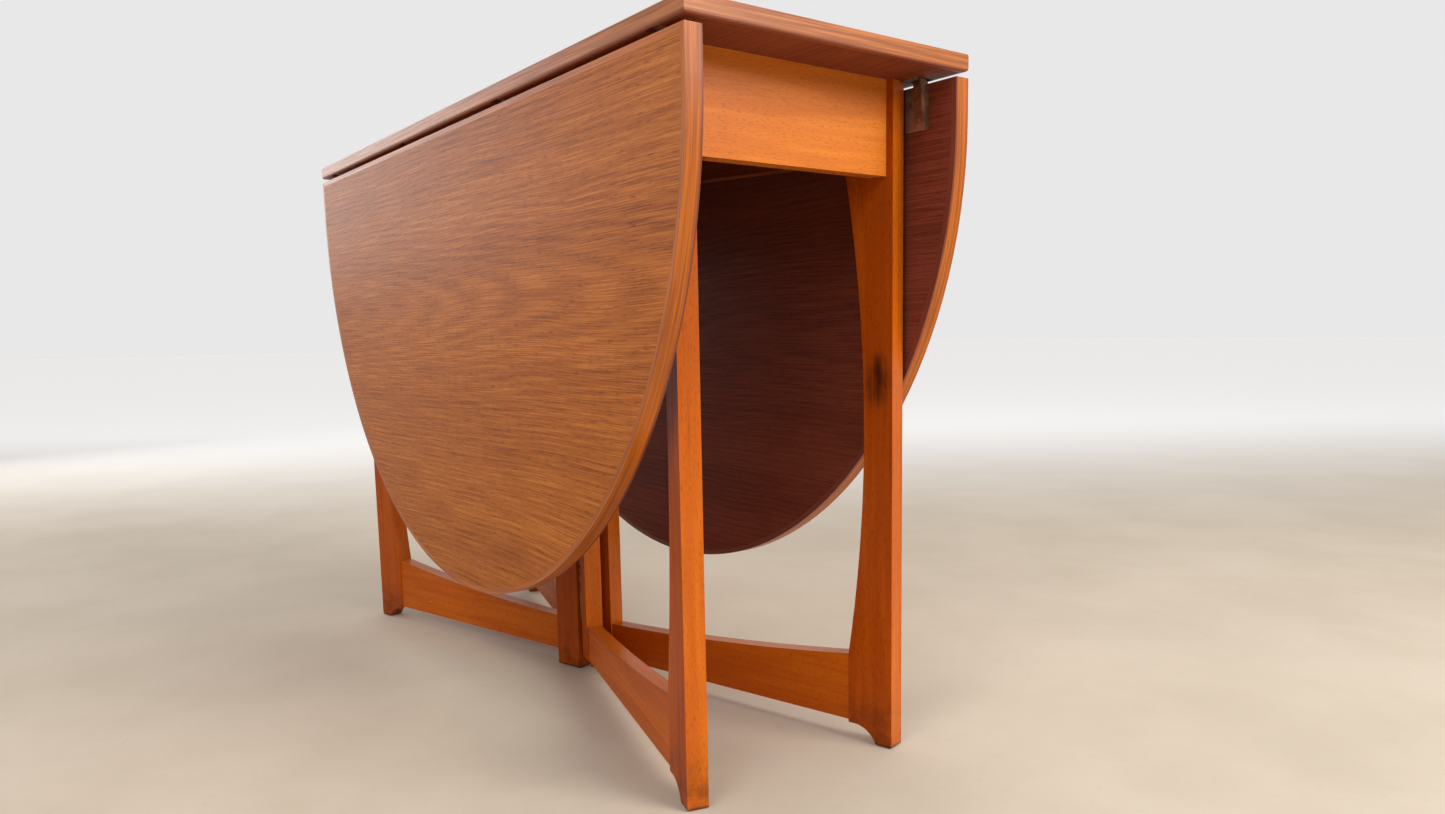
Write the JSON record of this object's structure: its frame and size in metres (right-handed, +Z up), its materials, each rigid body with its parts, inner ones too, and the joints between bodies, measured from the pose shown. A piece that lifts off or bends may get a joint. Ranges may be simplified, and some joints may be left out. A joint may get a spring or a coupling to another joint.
{
  "type": "drop leaf table",
  "caption": "Oval drop leaf table on crossed diagonal leg frames, with round hanging leaves and hinged gates that swing out to hold them.",
  "frame": {"origin": "on the floor, below the middle of the centre board", "axes": "+X along the table, +Y across it towards the right leaf, +Z up"},
  "size_m": [1.044, 0.34, 0.73],
  "materials": {
    "teak_veneer": "satin, grain along the table",
    "teak_lipping": "satin",
    "stained_beech": "satin, fine flecks",
    "inner_wood": "matt, unlit side",
    "brass_hinge": "dulled",
    "nickel_pin": "dull nickel",
    "zinc_screw": "zinc plated",
    "steel_hinge": "darkened steel",
    "glide": "worn steel"
  },
  "bodies": {
    "frame": {"top_panel": "teak_veneer", "top_lipping": "teak_lipping", "apron_near": "stained_beech", "apron_far": "stained_beech", "near_leg": "stained_beech", "near_stretcher": "stained_beech", "near_rail": "inner_wood", "near_post": "stained_beech", "far_leg": "stained_beech", "far_stretcher": "stained_beech", "far_rail": "inner_wood", "far_post": "stained_beech", "centre_key": "inner_wood", "top_blocks": "inner_wood", "frame_glides": "glide", "gate_left_hinge_fixed": "brass_hinge", "gate_left_hinge_pin": "nickel_pin", "gate_right_hinge_fixed": "brass_hinge", "gate_right_hinge_pin": "nickel_pin", "leaf_left_hinge_plates": "steel_hinge", "leaf_left_hinge_pins": "nickel_pin", "leaf_left_plate_screws": "zinc_screw", "leaf_right_hinge_plates": "steel_hinge", "leaf_right_hinge_pins": "nickel_pin", "leaf_right_plate_screws": "zinc_screw"},
    "leaf_left": {"leaf_left_panel": "teak_veneer", "leaf_left_lipping": "teak_lipping", "leaf_left_hinge_flaps": "steel_hinge", "leaf_left_flap_screws": "zinc_screw"},
    "leaf_right": {"leaf_right_panel": "teak_veneer", "leaf_right_lipping": "teak_lipping", "leaf_right_hinge_flaps": "steel_hinge", "leaf_right_flap_screws": "zinc_screw"},
    "gate_left": {"gate_left_leg": "stained_beech", "gate_left_stretcher": "stained_beech", "gate_left_rail": "inner_wood", "gate_left_post": "stained_beech", "gate_left_glide": "glide", "gate_left_hinge_moving": "brass_hinge"},
    "gate_right": {"gate_right_leg": "stained_beech", "gate_right_stretcher": "stained_beech", "gate_right_rail": "inner_wood", "gate_right_post": "stained_beech", "gate_right_glide": "glide", "gate_right_hinge_moving": "brass_hinge"}
  },
  "joints": [
    {"name": "leaf_left_hinge", "type": "hinge", "parent": "frame", "child": "leaf_left", "pos_m": [0, -0.1585, 0.7185], "axis": [-1, 0, 0], "range_deg": [0, 90]},
    {"name": "leaf_right_hinge", "type": "hinge", "parent": "frame", "child": "leaf_right", "pos_m": [0, 0.1585, 0.7185], "axis": [1, 0, 0], "range_deg": [0, 90]},
    {"name": "gate_left_hinge", "type": "hinge", "parent": "frame", "child": "gate_left", "pos_m": [0.00349, -0.00804, 0.35], "axis": [0, 0, -1], "range_deg": [0, 2.6]},
    {"name": "gate_right_hinge", "type": "hinge", "parent": "frame", "child": "gate_right", "pos_m": [-0.00349, 0.01804, 0.35], "axis": [0, 0, -1], "range_deg": [0, 1.3]}
  ]
}
